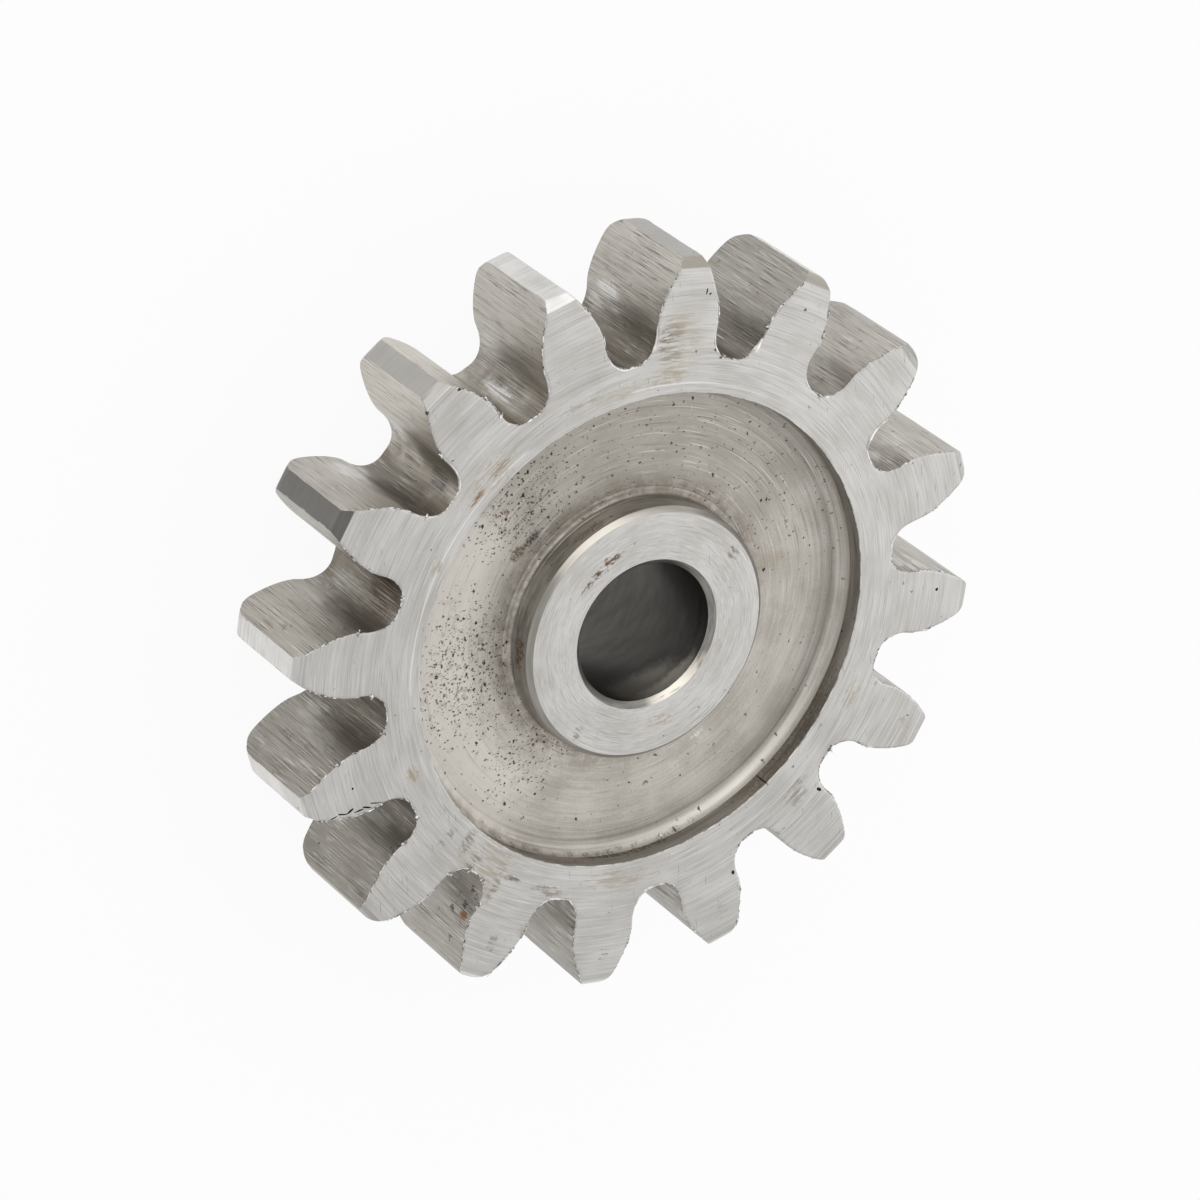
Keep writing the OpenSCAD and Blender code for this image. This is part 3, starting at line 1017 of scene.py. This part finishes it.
def hobbed_steel():
    """The flanks and roots of the teeth, torn in fine lines along the axis by the hob."""
    f = Finish("hobbed_flanks")
    streak = f.noise(f.vector(f.x * 5.5, f.y * 5.5, f.z * 0.15), 1, 3, 0.6)
    torn = f.noise(f.vector(f.x * 8, f.y * 8, f.z * 0.18 + 31), 1, 2, 0.6)
    cloud = f.noise(f.vector(f.x * 0.3, f.y * 0.3, f.z * 0.12), 1, 2, 0.6)
    rough = f.step(f.noise(f.place, 0.35), 0.44, 0.6)
    # Painted shade: the flanks turn darker towards the roots and lighter towards the tips.
    high = f.step(f.r, 33.8, 38.5)
    tone = high * 0.34 + streak * 0.22 + cloud * 0.44
    colour = f.mix(f.step(tone, 0.3, 0.8), grey(126, 0.09), grey(190, 0.055))
    # Painted highlight: bright patches part way up the flanks.
    shine = f.step(cloud + streak * 0.3, 0.68, 0.8) * f.step(f.r, 34.3, 36) * f.step(f.r, 40.5, 38.5)
    colour = f.mix(shine * 0.6, colour, grey(226, 0.02))
    for angle, tint, share in FLANK_REFLECTION_TONES:
        colour = f.mix(f.sector(angle, 10) * share, colour, tint)
    dash = f.step(torn, 0.54, 0.64) * (rough * 0.3 + 0.36)
    glint = f.step(torn, 0.44, 0.36) * (rough * 0.3 + 0.2)
    colour = f.mix(dash, colour, grey(88, 0.09))
    colour = f.mix(glint, colour, grey(226, 0.035))
    # Painted shade and dirt: the roots of the gaps darker and browner, broken up by noise.
    root = f.step(f.r, 35.8, 33.6) * f.step(cloud, 0.3, 0.55) * f.step(f.noise(f.place, 0.5, 3), 0.3, 0.6)
    colour = f.mix(root * 0.5, colour, ROOT_DIRT_AND_SHADE)
    blotch = f.step(f.noise(f.place, 0.8, 4, 0.7), 0.62, 0.7)
    colour = f.mix(blotch * 0.4, colour, FLANK_STAIN)
    colour = f.marked(colour, FLANK_MARKS, f.step(streak, 0.38, 0.56))
    pit = f.pits(1.1, 0.24, 0.02)
    colour = f.mix(pit * 0.9, colour, SOOT)
    height = streak * 0.014 - dash * 0.02
    return f.metal(colour, 0.32 + 0.16 * streak, height)


# Seen tone of the tips, by the angle of each tooth in degrees: the dark and dim ones are painted shade in what they
# reflect; the brown chamfers are their own colour.
DARK_REFLECTION_TIPS = (56.25,)
DIM_REFLECTION_TIPS = (33.75, -11.25, -56.25, 123.75)
BROWN_CHAMFERS = (-11.25, -33.75)


def tip_steel():
    """The tops of the teeth, turned before the gaps were cut."""
    f = Finish("turned_tips")
    fine = f.noise(f.winding(4.5, 9, 2), 1, 3, 0.6)
    cloud = f.noise(f.place, 0.3)
    colour = f.mix(f.step(fine * 0.5 + cloud * 0.5, 0.3, 0.7), grey(200, 0.025), grey(230, 0.015))
    # Painted shade: some tips are painted dimmer or dark, for the darker surroundings they reflect.
    dull = sum(f.sector(angle, 5) for angle in DIM_REFLECTION_TIPS)
    dark = sum(f.sector(angle, 5) for angle in DARK_REFLECTION_TIPS)
    colour = f.mix(dull * 0.75, colour, grey(158, 0.045))
    colour = f.mix(dark * 0.85, colour, grey(86, 0.07))
    brown = sum(f.sector(angle, 5) for angle in BROWN_CHAMFERS) * f.step(f.z, 23.3, 23.5)
    colour = f.mix(brown * 0.8, colour, grey(182, 0.09))
    score = f.step(f.noise(f.winding(8, 4, 29), 1, 1), 0.6, 0.7)
    colour = f.mix(score * 0.22, colour, grey(120, 0.05))
    pit = f.pits(1.2, 0.26, 0.04)
    colour = f.mix(pit * 0.8, colour, SOOT)
    return f.metal(colour, 0.34 + 0.1 * fine, fine * 0.004 - pit * 0.03)


def bright_steel(name, dark, light, scale):
    """Chamfers and burrs, where fresh metal shows."""
    f = Finish(name)
    fine = f.noise(f.place, scale, 3, 0.6)
    colour = f.mix(f.step(fine, 0.35, 0.62), dark, light)
    return f.metal(colour, 0.3 + 0.15 * fine, fine * 0.01)


def hub_chamfer_steel():
    """The hub's outer chamfer, with a painted highlight where the light falls on it and painted shade round the left.
    """
    f = Finish("hub_chamfer")
    fine = f.noise(f.turning(1.5, 2, 8), 1, 2, 0.6)
    colour = f.mix(f.step(fine, 0.35, 0.65), grey(156, 0.06), grey(190, 0.04))
    colour = f.mix(f.sector(8, 34) * (fine * 0.6 + 0.12), colour, grey(212, 0.08))
    colour = f.mix(f.sector(92, 40) * 0.5, colour, grey(150, 0.06))
    return f.metal(colour, 0.34 + 0.12 * fine, fine * 0.004)


def bore_chamfer_steel():
    """The chamfers of the bore, grey, with a painted highlight at the bottom."""
    f = Finish("bore_chamfer")
    fine = f.noise(f.turning(3, 3, 9), 1, 2, 0.6)
    colour = f.mix(f.step(fine, 0.35, 0.65), grey(138, 0.05), grey(166, 0.045))
    colour = f.mix(f.sector(-152, 26) * f.step(fine, 0.3, 0.5) * 0.8, colour, grey(226, 0.07))
    return f.metal(colour, 0.34 + 0.12 * fine, fine * 0.004)


# Stage


def aim_camera():
    data = bpy.data.cameras.new("camera")
    data.sensor_width = SENSOR
    data.lens = FOCAL_PIXELS / PICTURE_SIZE * SENSOR
    camera = bpy.data.objects.new("camera", data)
    bpy.context.scene.collection.objects.link(camera)
    towards = direction(CAMERA_AZIMUTH, CAMERA_ELEVATION)
    turned = (-towards).to_track_quat("-Z", "Y").to_matrix().to_4x4() @ Matrix.Rotation(CAMERA_ROLL, 4, "Z")
    camera.matrix_world = Matrix.Translation(CAMERA_AIM + towards * CAMERA_DISTANCE) @ turned
    data.clip_start = 0.05
    bpy.context.scene.camera = camera


def direction(azimuth, elevation):
    level = math.cos(elevation)
    return Vector((level * math.cos(azimuth), level * math.sin(azimuth), math.sin(elevation)))


def lay_floor():
    drop_selection()
    bpy.ops.mesh.primitive_plane_add(size=FLOOR_SIZE)
    floor = name_piece("floor")
    f = Finish("pale_floor")
    diffuse = f.node("ShaderNodeBsdfDiffuse", None, {"Color": (FLOOR_WHITE, FLOOR_WHITE, FLOOR_WHITE, 1)})
    white = f.node("ShaderNodeEmission", None, {"Color": (1, 1, 1, 1), "Strength": 1.0})
    direct = seen = f.node("ShaderNodeLightPath", None, None, "Is Camera Ray")
    for ray in ("Is Glossy Ray", "Is Transmission Ray"):
        seen = f.node("ShaderNodeMath", {"operation": "MAXIMUM"}, {0: seen, 1: direct.other(ray)})
    share = seen * FLOOR_WHITE
    floor.data.materials.append(f.shown(f.node("ShaderNodeMixShader", None, {0: share, 1: diffuse, 2: white})))


def soft_lamp(name, azimuth, elevation, distance, size, power):
    data = bpy.data.lights.new(name, "AREA")
    data.size = size
    data.energy = power
    lamp = bpy.data.objects.new(name, data)
    bpy.context.scene.collection.objects.link(lamp)
    towards = direction(math.radians(azimuth), math.radians(elevation))
    turned = (-towards).to_track_quat("-Z", "Y").to_matrix().to_4x4()
    lamp.matrix_world = Matrix.Translation(towards * distance) @ turned


def light_stage():
    world = bpy.data.worlds.new("studio")
    world.use_nodes = True
    world.node_tree.nodes["Background"].inputs["Color"].default_value = (1, 1, 1, 1)
    world.node_tree.nodes["Background"].inputs["Strength"].default_value = SKY_STRENGTH
    bpy.context.scene.world = world
    soft_lamp("side_lamp", -110, 45, 0.9, 0.5, 0.6)
    soft_lamp("top_lamp", 5, 40, 0.9, 0.7, 1.8)


def dress(gear, finishes):
    """Gives each face of the gear the finish of its place, and leaves what the chips laid bare as it is."""
    names = list(finishes)
    for name in names[len(gear.data.materials):]:
        gear.data.materials.append(finishes[name])
    for face in gear.data.polygons:
        if names[face.material_index] != "torn":
            face.material_index = names.index(zone(face.center / MM, face.normal))


# How much of a face's direction is upright where it counts as flat, or as sloped
FLAT = 0.97
SLOPED = 0.25


def zone(place, facing):
    """Which finish a face takes, from its place in mm and the way it faces."""
    r = math.hypot(place.x, place.y)
    outward = (facing.x * place.x + facing.y * place.y) / r
    if r > ROOT_R - 0.2:
        if abs(facing.z) > FLAT:
            return "front_face" if facing.z > 0 else "back_face"
        if facing.z > 0.75 and place.z > FRONT_Z - 3:
            return "front_face"
        level = math.hypot(facing.x, facing.y)
        if r > TIP_R - TIP_ROUND - 0.2 and outward > 0.93 * level:
            return "tips"
        if facing.z > 0.3:
            return "burr"
        return "flanks"
    if r < BORE_R + 0.05:
        return "bore"
    if r > HUB_R + 0.05 and place.z > FLOOR_Z - 1 and place.z < FRONT_Z - 0.05 and r < RECESS_R - 0.03:
        return "web"
    if abs(facing.z) > FLAT:
        if r < HUB_R:
            return "hub_face"
        return "front_face" if facing.z > 0 else "back_face"
    if abs(facing.z) > SLOPED and (r < HUB_R + 0.02 and not 1 < place.z < HUB_FACE_Z - 1):
        return "hub_chamfer" if r > 12 else "bore_chamfer"
    if facing.z > SLOPED and place.z > FRONT_Z - 0.2 and r < RECESS_R + 0.2:
        return "rim_edge"
    return "recess_wall" if r > 20 else "hub_wall"


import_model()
aim_camera()
lay_floor()
light_stage()
finishes = {
    "front_face": turned_steel("turned_front", 0, grey(188, 0.035), grey(214, 0.02), FACE_MARKS),
    "torn": bright_steel("torn_steel", grey(40, 0.05), grey(110, 0.04), 3),
    "back_face": turned_steel("turned_back", 60, grey(188, 0.035), grey(214, 0.02)),
    "hub_face": turned_steel("turned_hub", 90, grey(192, 0.035), grey(216, 0.02), HUB_MARKS),
    "web": web_steel(),
    "hub_wall": wall_steel("hub_walls", 0, grey(140, 0.05), grey(186, 0.03), WALL_MARKS),
    "recess_wall": wall_steel("recess_wall", 20, grey(120, 0.06), grey(170, 0.04), WALL_MARKS, 0.4),
    # The bore's dark colour is painted shade of the deep hole.
    "bore": wall_steel("shaded_bore", 40, grey(80, 0.06), grey(94, 0.05), BORE_LIGHT_AND_SHADE, 0.03, 0.003, 0),
    "hub_chamfer": hub_chamfer_steel(),
    "bore_chamfer": bore_chamfer_steel(),
    "rim_edge": bright_steel("rim_edge", grey(150, 0.05), grey(235, 0.02), 0.5),
    "flanks": hobbed_steel(),
    "tips": tip_steel(),
    "burr": bright_steel("bright_edges", grey(120, 0.03), grey(240, 0.01), 2.5),
}
gear = gear_mesh()
gear.data.materials.append(finishes["front_face"])
gear.data.materials.append(finishes["torn"])
# Nicks next to each other in the list may touch, so that they are cut in two sets
for nicks in (NICKS[::2], NICKS[1::2]):
    chip(gear, finishes["front_face"], finishes["torn"], nicks)
dress(gear, finishes)
smooth(gear)
edges = burrs()
edges.data.materials.append(bright_steel("bright_burrs", grey(90, 0.05), grey(245, 0.01), 2.5))
lips = root_lips()
lips.data.materials.append(bright_steel("bright_lips", grey(200, 0.035), grey(246, 0.02), 1.2))
for piece in (edges, lips):
    smooth(piece)
for piece in (gear, edges, lips):
    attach(piece, "root")
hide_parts("pinion_gear")
bpy.context.scene.view_settings.view_transform = "Standard"
drop_selection()
